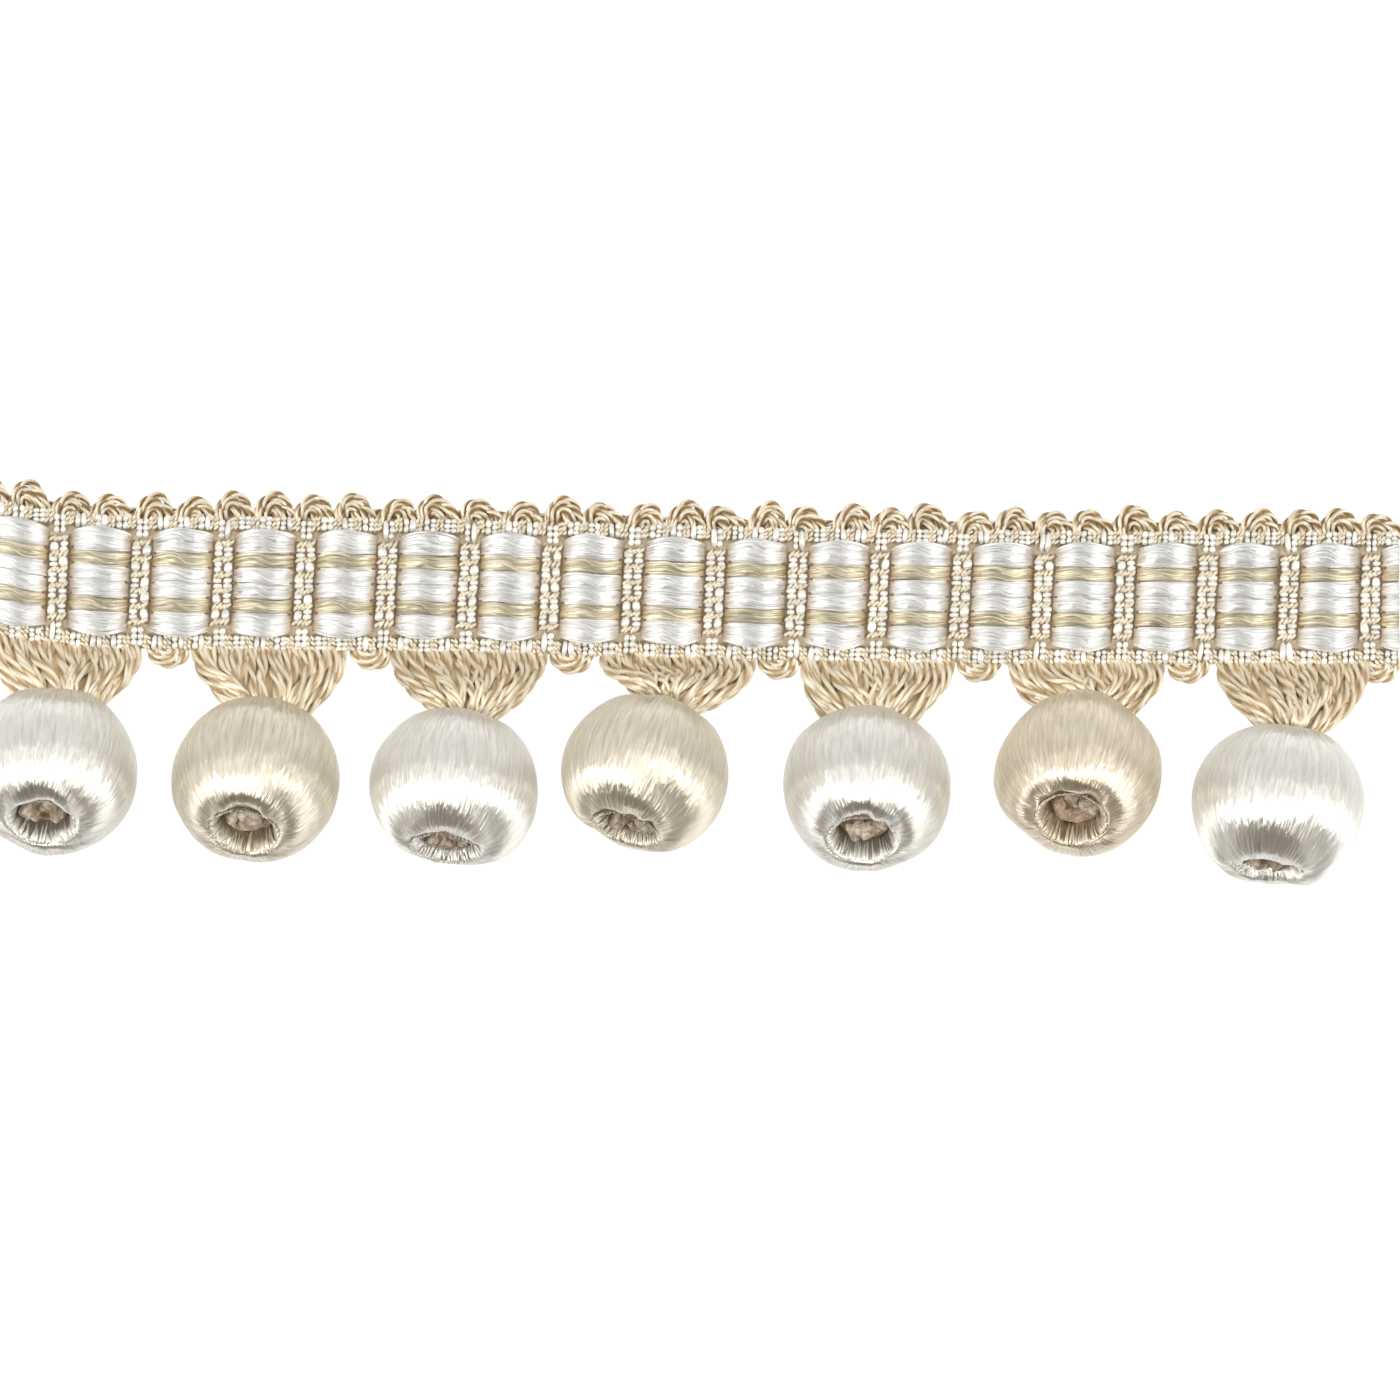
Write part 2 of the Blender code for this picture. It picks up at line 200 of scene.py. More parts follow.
def fillIn(tree, node, values):
    for key, value in values.items():
        if isinstance(value, bpy.types.NodeSocket):
            tree.links.new(value, node.inputs[key])
        else:
            node.inputs[key].default_value = value


def addNode(tree, kind, values=None, **settings):
    node = tree.nodes.new(kind)
    for key, value in settings.items():
        setattr(node, key, value)
    fillIn(tree, node, values or {})
    return node


def sumOf(tree, operation, first, second=0.0, third=0.0):
    return addNode(tree, "ShaderNodeMath", {0: first, 1: second, 2: third}, operation=operation).outputs[0]


def mapTo(tree, value, low, high, newLow, newHigh):
    inputs = {0: value, 1: low, 2: high, 3: newLow, 4: newHigh}
    return addNode(tree, "ShaderNodeMapRange", inputs).outputs[0]


def blend(tree, share, first, second):
    # from the first colour to the second as share goes from 0 to 1
    ends = [end if isinstance(end, bpy.types.NodeSocket) else (*end, 1) for end in (first, second)]
    return addNode(tree, "ShaderNodeMix", {0: share, 6: ends[0], 7: ends[1]}, data_type="RGBA").outputs[2]


def noiseAt(tree, place, detail, roughness=0.5, scale=1):
    values = {"Vector": place, "Scale": scale, "Detail": detail, "Roughness": roughness}
    return addNode(tree, "ShaderNodeTexNoise", values).outputs[0]


def threadParts(tree):
    # round the strand, from 0 to 1, and along it
    uv = addNode(tree, "ShaderNodeUVMap", uv_map="thread").outputs[0]
    return addNode(tree, "ShaderNodeSeparateXYZ", {0: uv}).outputs


def threadPlace(tree, around, along):
    # a seamless place on a strand: round it in a circle, and along it
    parts = threadParts(tree)
    angle = sumOf(tree, "MULTIPLY", parts[0], fullTurn)
    x = sumOf(tree, "MULTIPLY", sumOf(tree, "COSINE", angle), around)
    y = sumOf(tree, "MULTIPLY", sumOf(tree, "SINE", angle), around)
    z = sumOf(tree, "MULTIPLY", parts[1], along)
    return addNode(tree, "ShaderNodeCombineXYZ", {0: x, 1: y, 2: z}).outputs[0]


def startMaterial(name):
    material = bpy.data.materials.new(name)
    material.use_nodes = True
    return material, material.node_tree, material.node_tree.nodes["Principled BSDF"]


def raiseFrom(tree, height, depth, strength=1.0, **below):
    values = {"Strength": strength, "Distance": depth * millimetre, "Height": height, **below}
    return addNode(tree, "ShaderNodeBump", values).outputs[0]


def combThreads(tree, shader, finish, colour, roughness, relief, sheenRoughness):
    # the gleam stretches across the threads
    tangent = addNode(tree, "ShaderNodeTangent", direction_type="UV_MAP", uv_map="thread").outputs[0]
    values = {"Base Color": colour, "Roughness": roughness, "Normal": relief, "Tangent": tangent}
    values |= {"Metallic": finish["gleam"], "Anisotropic": finish["anisotropy"]}
    values |= {"Sheen Weight": finish["sheen"], "Sheen Roughness": sheenRoughness}
    fillIn(tree, shader, values)


def yarnFinish(name, yarn, **changes):
    # light and dark fibres, a tone for each strand, and fibre relief, all from noise along the thread;
    # painted shade darkens the side of a ply that turns in to its partner, and the edges of a satin thread
    yarn = {**yarn, **changes}
    material, tree, shader = startMaterial(name)
    fibres = noiseAt(tree, threadPlace(tree, yarn["fibresAround"], yarn["fibresAlong"]), 3, 0.6)
    share = mapTo(tree, fibres, 0.32, 0.68, 0, 1)
    parts = threadParts(tree)
    # painted shade in the crevice between plies, set by which way the ply's surface faces
    facing = sumOf(tree, "COSINE", sumOf(tree, "MULTIPLY", parts[0], fullTurn))
    paintedCreviceLight = mapTo(tree, facing, *yarn["crevice"], 1 - yarn["creviceShade"], 1)
    shaded = sumOf(tree, "MULTIPLY", mapTo(tree, share, 0, 1, yarn["fibreShade"], 1), paintedCreviceLight)
    colour = blend(tree, shaded, yarn["dark"], yarn["light"])
    if "endTint" in yarn:  # painted shade and a painted reflection of the brown rib darken the ends of a float
        along = sumOf(tree, "MODULO", parts[1], yarn["threadStep"])
        fromEnd = sumOf(tree, "MINIMUM", along, sumOf(tree, "SUBTRACT", yarn["floatLength"], along))
        fromEnd = sumOf(tree, "ADD", fromEnd, sumOf(tree, "SUBTRACT", fibres, 0.5))
        fade = mapTo(tree, fromEnd, *yarn["endReach"], yarn["paintedEndShadeAmount"], 0)
        colour = blend(tree, fade, colour, yarn["endTint"])
    strand = addNode(tree, "ShaderNodeNewGeometry").outputs["Random Per Island"]
    tone = mapTo(tree, strand, 0, 1, 1 - yarn["toneSpread"], 1 + yarn["toneSpread"])
    toned = addNode(tree, "ShaderNodeHueSaturation", {"Value": tone, "Color": colour}).outputs[0]
    rough = mapTo(tree, fibres, 0.3, 0.7, yarn["roughness"] + 0.08, yarn["roughness"] - 0.08)
    relief = raiseFrom(tree, share, yarn["reliefDepth"], yarn["relief"])
    combThreads(tree, shader, yarn, toned, rough, relief, sheenRoughness=0.4)
    return material


cordYarn = {
    "light": (1.0, 0.93, 0.75),
    "dark": (0.50, 0.34, 0.16),
    "crevice": (-0.15, 0.9),
    "creviceShade": 0.8,
    "fibreShade": 0.65,
    "fibresAround": 1.6,
    "fibresAlong": 0.30,
    "toneSpread": 0.08,
    "roughness": 0.41,
    "gleam": 0.46,
    "anisotropy": 1.0,
    "sheen": 0.1,
    "relief": 0.6,
    "reliefDepth": 0.06,
}
dullYarn = {**cordYarn, "gleam": 0.0, "creviceShade": 0.0}
twistedCordYarn = yarnFinish("twistedCordYarn", cordYarn)
picotColours = {"light": (0.98, 0.90, 0.715), "dark": (0.28, 0.168, 0.06)}
picotYarn = yarnFinish("picotCordYarn", cordYarn, **picotColours, gleam=0.45, creviceShade=0.95)
# the sheet stands for the inner cords, and its colours, browner than the outer cords', are painted shade
# between them
innerShadedColours = {"light": (1.0, 0.82, 0.54), "dark": (0.50, 0.32, 0.14)}
innerYarn = yarnFinish("innerCordYarn", dullYarn, **innerShadedColours, fibresAround=12)
stitchColours = {"light": (0.95, 0.88, 0.72), "dark": (0.32, 0.19, 0.08)}
stitchYarn = yarnFinish("creamStitchYarn", cordYarn, **stitchColours, creviceShade=0.6)
groundColours = {"light": (0.615, 0.51, 0.35), "dark": (0.39, 0.30, 0.175)}
groundYarn = yarnFinish("tanGroundYarn", dullYarn, **groundColours, fibresAround=60, fibresAlong=3)
# the pads are the rib's padding, and their dark brown is painted shade in the gaps between the stitches
padShadeYarn = yarnFinish("padPaintedShadeYarn", dullYarn, light=(0.235, 0.16, 0.085), dark=(0.09, 0.056, 0.028))
webColours = {"light": (0.54, 0.39, 0.24), "dark": (0.28, 0.18, 0.09)}
webYarn = yarnFinish("tanWebYarn", dullYarn, **webColours, gleam=0.1, fibresAround=3)

satinYarn = {
    "light": (1.0, 1.0, 0.985),
    "dark": (0.44, 0.445, 0.43),
    "crevice": (1, -0.3),
    "creviceShade": 0.2,
    "fibreShade": 0.15,
    "fibresAround": 1.1,
    "fibresAlong": 0.34,
    "toneSpread": 0.14,
    "roughness": 0.35,
    "gleam": 0.63,
    "anisotropy": 1.0,
    "sheen": 0.1,
    "relief": 0.4,
    "reliefDepth": 0.04,
}
pearlColours = {"light": (0.97, 0.96, 0.90), "dark": (0.50, 0.44, 0.34)}
pearlShades = {"crevice": (0.0, 0.75), "creviceShade": 0.6, "fibreShade": 0.5}
pearlYarn = yarnFinish("pearlStitchYarn", satinYarn, **pearlColours, **pearlShades, gleam=0.3)

# Woven ground of the tape

groundCloth = {
    "halfWidth": 9.9,
    "thickness": 1.0,
    "edgeRounding": 0.25,
    "step": 0.6,
    "rows": 34,
    "weave": 0.05,
}


def weaveGround():
    hank = startHank()
    half, edge, thickness = tapeLie["halfLength"], groundCloth["halfWidth"], groundCloth["thickness"]
    x = np.linspace(-half, half, round(2 * half / groundCloth["step"]) + 1)
    top = np.linspace(-edge, edge, groundCloth["rows"])
    y = np.concatenate([top, [edge, edge, 0, -edge, -edge]])
    rounded = thickness - groundCloth["edgeRounding"]
    z = np.concatenate([np.full(len(top), thickness), [rounded, 0, 0, 0, thickness / 2]])
    grid = placesOf(x[:, None], y + tapeMiddle(x)[:, None], z)
    over = (np.arange(len(x))[:, None] + np.arange(len(top))) % 2
    grid[:, : len(top), 2] += groundCloth["weave"] * (over - 0.5)
    grid[:, 0, 2] -= groundCloth["edgeRounding"]
    layGrid(hank, grid[:, ::-1], x)
    for end in (0, -1):  # close the two cut ends
        rim = grid[end, : len(top)]
        cap = np.stack([rim, rim * (1, 1, 0)])
        layGrid(hank, cap[:: -1 if end else 1], [0, 1], closed=False)
    return makePiece("gimpGround", hank, groundYarn, ["heading"], weld=True)


# Satin floats: blocks of floating floss between the ribs

satinFloats = {
    "bundles": (  # middle and width across the tape
        ("white", 6.21, 3.40),
        ("khaki", 3.42, 2.25),
        ("white", 1.15, 2.34),
        ("white", -1.15, 2.34),
        ("khaki", -3.42, 2.25),
        ("white", -6.21, 3.40),
    ),
    "endInset": 1.55,
    "stations": 19,
    "endCrowding": 0.35,
    "lowEnd": 1.13,
    "crown": {"white": 2.0, "khaki": 1.72},
    "fullness": 2.5,
    "middleRound": 0.6,
    "sideDrop": 0.3,
    "pinch": 0.88,
    "outerBundles": 5,  # bundles further out than this bow at their outer edges
    "bow": 0.22,
    "drawIn": 0.62,
    "bed": {"width": 0.96, "columns": 7, "depth": 0.1},
    "spacing": 0.25,
    "threadRadius": 0.175,
    "radiusSpread": (0.85, 1.15),
    "threadDepth": 0.05,
    "threadStep": 50,  # each thread starts a whole number of such steps on in the yarn's noise
    "arc": 4,
    "arcEnds": (0.12, 0.88),
    "flatness": 0.45,
    "wander": 0.16,
    "wave": 0.6,
    "lay": 0.055,
    "slant": 0.50,
    "slantSpread": (0.3, 1.7),
    "slantTurn": 8,
    "skew": 0.16,  # how far a thread's own crown lies off the middle
}
floatLength = tapeLie["ribPitch"] - 2 * satinFloats["endInset"]

# painted shade, tinted like a reflection of the rib, at both ends of each float
floatEnds = {
    "endTint": (0.60, 0.48, 0.345),
    "paintedEndShadeAmount": 0.8,
    "endReach": (0.2, 1.45),
    "floatLength": floatLength,
    "threadStep": satinFloats["threadStep"],
}
whiteSatin = yarnFinish("whiteSatinYarn", satinYarn, **floatEnds)
khakiSatin = yarnFinish(
    "khakiSatinYarn",
    {**satinYarn, **floatEnds},
    light=(0.96, 0.89, 0.69),
    dark=(0.26, 0.21, 0.12),
    endTint=(0.40, 0.28, 0.14),
    toneSpread=0.3,
    creviceShade=0.4,
    fibreShade=0.0,
)


def floatRise(share):
    power, soft = satinFloats["fullness"] / 2, satinFloats["middleRound"] ** 2
    return 1 - (((2 * share - 1) ** 2 + soft) ** power - soft**power) / ((1 + soft) ** power - soft**power)


def roundOff(offset, width):
    return 1 - np.abs(offset / (width / 2)) ** 3 * satinFloats["sideDrop"]


def bowOf(arch, offset, middle, width):
    # the outer edge of an outer bundle bows out over the border, and draws in at its ends
    outer = np.sign(middle) * (abs(middle) > satinFloats["outerBundles"])
    reach = satinFloats["bow"] * arch - satinFloats["drawIn"] * (1 - arch)
    return outer * (0.5 + outer * offset / width) * reach


def layFloats(hanks, left, maker):
    # the last block is cut off short at the end of the tape, and its floss turns down there
    floats, bed, ground = satinFloats, satinFloats["bed"], groundCloth["thickness"]
    cut = min(1, (tapeLie["halfLength"] + 0.1 - left) / floatLength)
    share = np.linspace(0, 1, floats["stations"])
    share = (share - floats["endCrowding"] * np.sin(fullTurn * share) / fullTurn) * cut
    down = (np.arange(len(share)) == len(share) - 1) & (cut < 1)
    x = left + floatLength * share
    arch = np.sin(math.pi * share)
    pinched = floats["pinch"] + (1 - floats["pinch"]) * np.sqrt(arch)
    for colour, middle, width in floats["bundles"]:
        line = tapeMiddle(x) + middle
        crown = floats["crown"][colour]
        # a bed of floss lies under the threads, and its sides reach down to the ground
        offsets = np.concatenate([[-0.5], np.linspace(-0.5, 0.5, bed["columns"]), [0.5]])
        offsets = offsets * width * bed["width"]
        y = line[:, None] - offsets * pinched[:, None] + bowOf(arch[:, None], -offsets, middle, width)
        rise = crown * floatRise(share)[:, None] * roundOff(offsets, width)
        grid = placesOf(x[:, None], y, rise + floats["lowEnd"] - bed["depth"])
        grid[down, :, 2] = ground
        grid[:, (0, -1), 2] = ground
        layGrid(hanks[colour], grid, x - left, closed=False)
        count = round(width / floats["spacing"])
        for thread in range(count):
            offset = ((thread + 0.5) / count - 0.5) * width + shake(maker, 0.04)
            drift = shake(maker, 1) * floats["wander"] * (2 * share - 1)
            reach = shake(maker, 1) * floats["wander"] * floats["wave"]
            wave = reach * np.sin(fullTurn * (share + maker.uniform()))
            slant = floats["slant"] * (1 - (2 * offset / width) ** 2) * maker.uniform(*floats["slantSpread"])
            slant = slant * np.tanh(floats["slantTurn"] * (share - 0.5))
            y = line + bowOf(arch, offset, middle, width) + offset * pinched + (drift + wave - slant) * arch
            lift = shake(maker, 1) * floats["lay"] * arch
            skew = shake(maker, 1) * floats["skew"] * np.sin(fullTurn * share) / fullTurn
            rise = crown * floatRise(share + skew) * roundOff(offset, width)
            z = np.where(down, ground, floats["lowEnd"] - floats["threadDepth"] + rise + lift)
            angles = np.linspace(*floats["arcEnds"], floats["arc"]) * math.pi
            radius = floats["threadRadius"] * maker.uniform(*floats["radiusSpread"])
            height = z[:, None] + radius * floats["flatness"] * (np.sin(angles) - 0.4)
            grid = placesOf(x[:, None], y[:, None] + radius * np.cos(angles), height)
            along = x - left + floats["threadStep"] * maker.integers(1000)
            layGrid(hanks[colour], grid, along, closed=False)


def layAllFloats():
    maker = np.random.default_rng(21)
    hanks = {"white": startHank(), "khaki": startHank()}
    for rib in range(tapeLie["ribCount"]):
        layFloats(hanks, tapeLie["firstRib"] + tapeLie["ribPitch"] * rib + satinFloats["endInset"], maker)
    return [
        makePiece("whiteFloats", leanTape(hanks["white"]), whiteSatin),
        makePiece("khakiFloats", leanTape(hanks["khaki"]), khakiSatin),
    ]


# Ribs and borders: small looped stitches in white with cream twists between them

stitching = {
    "ribRows": 5,
    "rowPitch": 2.35,
    "ribEnd": 6.3,
    "pearl": (0.70, 0.43, 0.50),  # half sizes along the tape, across it and upwards
    "pearlSpread": (0.88, 1.08),
    "pearlSide": 0.76,
    "pearlStack": 0.80,
    "pearlHeight": 1.38,
    "longPearl": (0.95, 1.9, 1),  # against the short ones
    "longShare": 0.3,
    "twist": {"radius": 0.30, "length": 1.3, "height": 1.5, "lean": 0.75},
    "twistPlaces": (-0.95, -0.32, 0.32, 0.95),
    "pad": {"halfWidth": 1.5, "foot": 0.9, "height": 1.36},
    "shadeDot": (0.46, 0.19, 0.24),  # a dot of painted shade at each end of a float bundle
    "shadeDotSide": 1.94,
    "shadeDotHeight": 1.45,
    "shadeDotRows": (-7.85, -4.51, -2.30, 0, 2.30, 4.51, 7.85),
    "columnsPerRib": 4,
    "borderColumn": {"middle": 8.93, "halfLength": 1.06},
    "ribColumn": {"middle": 8.1, "halfLength": 1.4},
    "borderPearl": (0.47, 0.44),  # half width and half height
    "borderSide": 0.46,
    "borderHeight": 1.42,
    "borderTwist": {"radius": 0.28, "length": 1.0, "height": 1.45},
    "borderTwistPlace": {"first": 1.12, "across": 0.62, "along": 0.68},
}


def layPearl(hank, centre, size, maker, rings=6, sides=8):
    # a rounded stitch with squared shoulders
    share = np.sin(np.linspace(-math.pi / 2, math.pi / 2, rings))
    width = np.maximum(1 - np.abs(share) ** 4.5, 0.02) ** 0.5
    lean = shake(maker, 0.12)
    around = np.arange(sides) * fullTurn / sides
    across = np.sign(np.sin(around)) * np.abs(np.sin(around)) ** 0.7
    x = centre[0] + size[0] * width[:, None] * across + lean * share[:, None] * size[1]
    y = centre[1] + size[1] * share[:, None]
    z = centre[2] + size[2] * width[:, None] * np.cos(around)
    layGrid(hank, placesOf(x, y, z), share * size[1] + 30 * maker.uniform())


def layTwist(hank, centre, length, radius, lean, maker):
    # a short bit of cream twist that dives at both ends
    share = np.linspace(-1, 1, 6)
    x = centre[0] + math.sin(lean) * share * length / 2
    y = centre[1] + math.cos(lean) * share * length / 2
    line = placesOf(x, y, centre[2] - 0.25 * share**2)
    along = share * length + 30 * maker.uniform()
    layStrand(hank, line, along, radius * (1 - 0.35 * share**2), 5, turn=math.pi / 2)


def stitchRib(rib, pearls, twists, pads, maker):
    x = tapeLie["firstRib"] + tapeLie["ribPitch"] * rib
    middle = tapeMiddle(x)
    pad, twist = stitching["pad"], stitching["twist"]
    y = np.linspace(-stitching["ribEnd"], stitching["ribEnd"], 15)
    angles = np.linspace(0, math.pi, 7)
    z = pad["foot"] + (pad["height"] - pad["foot"]) * np.sin(angles) ** 0.5
    layGrid(pads, placesOf(x - pad["halfWidth"] * np.cos(angles), middle + y[:, None], z), y, closed=False)
    for row in range(stitching["ribRows"]):
        rowY = middle + (row - (stitching["ribRows"] - 1) / 2) * stitching["rowPitch"]
        for side in (-1, 1):
            across = x + side * stitching["pearlSide"] + shake(maker, 0.08)
            along = rowY + shake(maker, 0.12)
            height = stitching["pearlHeight"]
            size = np.multiply(stitching["pearl"], maker.uniform(*stitching["pearlSpread"], 3))
            if maker.uniform() < stitching["longShare"]:
                layPearl(pearls, (across, along, height), size * stitching["longPearl"], maker)
                continue
            for half in (-0.5, 0.5):
                place = (across + shake(maker, 0.06), along + half * stitching["pearlStack"], height)
                layPearl(pearls, place, size * maker.uniform(0.9, 1.06, 3), maker, rings=5)
    # dots of painted shade beside the rib, where the float bundles meet
    for shadeDotRow in stitching["shadeDotRows"]:
        for side in (-1, 1):
            across = max(x + side * stitching["shadeDotSide"], 0.6 - tapeLie["halfLength"])
            place = (across, middle + shadeDotRow + shake(maker, 0.12), stitching["shadeDotHeight"])
            size = np.multiply(stitching["shadeDot"], maker.uniform(0.7, 1.25))
            layPearl(pads, place, size, maker, rings=5, sides=6)
    for row in range(stitching["ribRows"] + 1):
        rowY = middle + (row - stitching["ribRows"] / 2) * stitching["rowPitch"]
        for place in stitching["twistPlaces"]:
            centre = (x + place + shake(maker, 0.06), rowY + shake(maker, 0.08), twist["height"])
            lean = twist["lean"] + shake(maker, 0.35)
            layTwist(twists, centre, twist["length"] * maker.uniform(0.8, 1.1), twist["radius"], lean, maker)


def stitchBorder(edge, pearls, twists, maker):
    # edge is 1 along the picots and -1 along the skirts
    pitch = tapeLie["ribPitch"] / stitching["columnsPerRib"]
    twist, grid = stitching["borderTwist"], stitching["borderTwistPlace"]
    width, depth = stitching["borderPearl"]
    for column in range(round(2 * tapeLie["halfLength"] / pitch)):
        x = tapeLie["firstRib"] + pitch * column
        if x > tapeLie["halfLength"] - 0.8:
            continue
        atRib = column % stitching["columnsPerRib"] == 0
        stitch = stitching["ribColumn"] if atRib else stitching["borderColumn"]
        middle = tapeMiddle(x)
        y = middle + edge * stitch["middle"] + shake(maker, 0.1)
        for side in (-1, 1):
            halfWidth = width * maker.uniform(0.85, 1.15)
            stack = 1 if maker.uniform() < stitching["longShare"] else 3 if atRib else maker.integers(2, 4)
            halfLength = stitch["halfLength"] / stack
            for step in range(stack):
                bitX = x + side * stitching["borderSide"] + shake(maker, 0.05)
                place = (bitX, y + (2 * step - stack + 1) * halfLength, stitching["borderHeight"])
                layPearl(pearls, place, (halfWidth, 1.05 * halfLength, depth), maker, rings=5)
        for bit in range(6):  # three rows of two
            row, side = divmod(bit, 2)
            bitX = x + grid["first"] + grid["across"] * side + shake(maker, 0.1)
            bitY = edge * stitching["borderColumn"]["middle"] + (row - 1) * grid["along"] + shake(maker, 0.1)
            if bitX > tapeLie["halfLength"] - 0.3:
                continue
            centre = (bitX, middle + bitY, twist["height"])
            layTwist(twists, centre, twist["length"], twist["radius"], edge * maker.uniform(0.3, 1.0), maker)


def stitchTape():
    maker = np.random.default_rng(33)
    pearls, twists, pads = startHank(), startHank(), startHank()
    for rib in range(tapeLie["ribCount"]):
        stitchRib(rib, pearls, twists, pads, maker)
    for edge in (1, -1):
        stitchBorder(edge, pearls, twists, maker)
    return [
        makePiece("pearlStitches", leanTape(pearls), pearlYarn),
        makePiece("creamStitches", leanTape(twists), stitchYarn),
        makePiece("ribPads", leanTape(pads), padShadeYarn),
    ]


# Cords

cordTwist = {
    "plies": 2,
    "plyRadius": 0.39,
    "offset": 0.78,  # of a ply from the cord's middle, against its radius
    "pitch": 7.8,
    "sides": 7,
    "step": 0.48,
}

picotTwist = {**cordTwist, "plyRadius": 0.35, "pitch": 5.2, "step": 0.42}

picotLoops = {
    "first": -104.35,
    "pitch": 6.1425,
    "count": 35,
    "root": 8.9,
    "cords": (  # left span, right span, reach, height, from the outside in
        (2.3, 2.75, 4.0, 0.95),
        (2.1, 2.05, 3.4, 1.3),
        (1.75, 1.35, 2.75, 1.45),
        (1.3, 0.7, 2.05, 1.2),
    ),
    "foot": 0.45,
    "lean": 0.45,
    "leanSpread": 0.8,
    "unevenness": 0.6,
    "crossingLeg": ((1.0, 12.0, 1.5), (2.85, 10.9, 1.4), (3.5, 8.9, 0.6)),  # it runs down to the next picot
    "web": {"root": 9.3, "halfSpan": 2.1, "reach": 3.1, "height": 0.5, "ribs": 15, "ribHeight": 0.12},
    "backCord": {"y": 10.8, "wave": 0.12, "height": 0.42},
}


def loopLine(x, root, left, right, reach, height, lean, direction):
    # an arch in plan that rises from the tape's edge; direction is 1 for picots and -1 for lower loops
    angle = np.linspace(0, math.pi, 22)
    swing = np.sin(angle) ** 0.85
    along = x + (right - left) / 2 - (left + right) / 2 * np.cos(angle) + lean * swing
    y = tapeMiddle(x) + direction * (root + reach * swing)
    return placesOf(along, y, picotLoops["foot"] + (height - 0.1) * np.sin(angle) ** 0.6)


def layWeb(hank, x, web, rise):
    # the close tan stitches that fill a picot from behind
    across = np.linspace(-1, 1, web["ribs"])
    outwards = np.linspace(0, 1, 7)[:, None]
    reach = web["reach"] + rise
    ribs = web["ribHeight"] * (np.arange(web["ribs"]) % 2)
    y = tapeMiddle(x) + web["root"] + reach * outwards * np.sqrt(1 - 0.9 * across**2)
    z = web["height"] + ribs * (1 - outwards**4) - 0.3 * outwards**4
    grid = placesOf(x + web["halfSpan"] * across * (1 - 0.25 * outwards), y, z)
    layGrid(hank, grid, outwards[:, 0] * reach + x, closed=False)


def curlPicots():
    maker = np.random.default_rng(5)
    hank, webs = startHank(), startHank()
    for picot in range(picotLoops["count"]):
        x = picotLoops["first"] + picotLoops["pitch"] * picot + shake(maker, 0.3)
        lean = picotLoops["lean"] + shake(maker, picotLoops["leanSpread"])
        rise = shake(maker, 1) * picotLoops["unevenness"]
        x = min(x, tapeLie["halfLength"] - 2.75)
        for left, right, reach, height in picotLoops["cords"]:
            left, right, reach = (left, right, reach) + maker.uniform(-0.25, 0.25, 3)
            line = loopLine(x, picotLoops["root"], left, right, reach + rise, height, lean, 1)
            layCord(hank, line, picotTwist, maker.uniform(0, fullTurn))
        leg = np.array(picotLoops["crossingLeg"]) + (x, tapeMiddle(x), 0)
        leg[:2, 1] += rise * np.array([1, 0.5])
        phase = maker.uniform(0, fullTurn)
        layCord(hank, smoothLine(leg, 12), picotTwist, phase, taper=([0, 0.15, 1], [0.5, 1, 1]))
        layWeb(webs, x + 0.1, picotLoops["web"], rise)
    # the cord that runs behind the picots
    back = picotLoops["backCord"]
    x = np.linspace(-tapeLie["halfLength"], tapeLie["halfLength"], 500)
    y = tapeMiddle(x) + back["y"] + back["wave"] * np.sin(x * 1.1)
    cord = {**picotTwist, "sides": 6, "step": 0.6, "plyRadius": 0.31}
    layCord(hank, placesOf(x, y, back["height"]), cord, 0)
    return [
        makePiece("picotRow", hank, picotYarn, ["picot_edge"]),
        makePiece("picotWebs", webs, webYarn),
    ]


ballColumns = ("rootX", "x", "y", "radius", "tilt", "lean", "floss")
ballRows = (
    (-92.2, -93.0, -26.8, 12.7, 40, -4, "white"),
    (-61.6, -62.8, -28.2, 12.5, 39, -8, "ivory"),
    (-31.7, -33.4, -29.5, 12.4, 25, -7, "white"),
    (-0.5, -5.1, -27.1, 12.2, 25, -18, "ivory"),
    (29.5, 27.4, -29.5, 12.5, 41, -5, "white"),
    (60.7, 58.7, -27.3, 12.3, 47, -12, "cream"),
    (91.7, 88.3, -32.1, 12.7, 18, -11, "white"),
)
balls = [dict(zip(ballColumns, row)) for row in ballRows]

ballShape = {
    "flattening": 0.93,
    "outerHeight": 0.97,
    "lip": (  # radius and height, from the shoulder over the rim and down into the hole
        *((8.2, 9.24), (7.5, 9.69), (6.8, 9.95), (6.2, 10.07), (5.7, 10.10), (5.3, 9.98)),
        *((4.95, 9.65), (4.6, 9.1), (4.25, 8.3), (3.9, 7.2), (3.6, 5.8), (3.3, 4.2)),
    ),
    "flatSpot": 0.25,
    "columns": 156,
    "outerRows": 36,
    "lipRows": 22,
}


def ballFrame(ball):
    # gives the function that turns a place in the ball into a place on the table
    tilt, lean = math.radians(ball["tilt"]), math.radians(ball["lean"])
    axis = np.array([math.sin(lean) * math.cos(tilt), -math.cos(lean) * math.cos(tilt), math.sin(tilt)])
    side = np.array([math.cos(lean), math.sin(lean), 0])
    axes = np.stack([side, np.cross(axis, side), axis])
    halfHeight = ball["radius"] * ballShape["flattening"]
    reachDown = math.hypot(ball["radius"] * math.cos(tilt), halfHeight * math.sin(tilt))
    centre = np.array([ball["x"], ball["y"], reachDown - ballShape["flatSpot"]])
    return lambda points: np.asarray(points, float) @ axes + centre


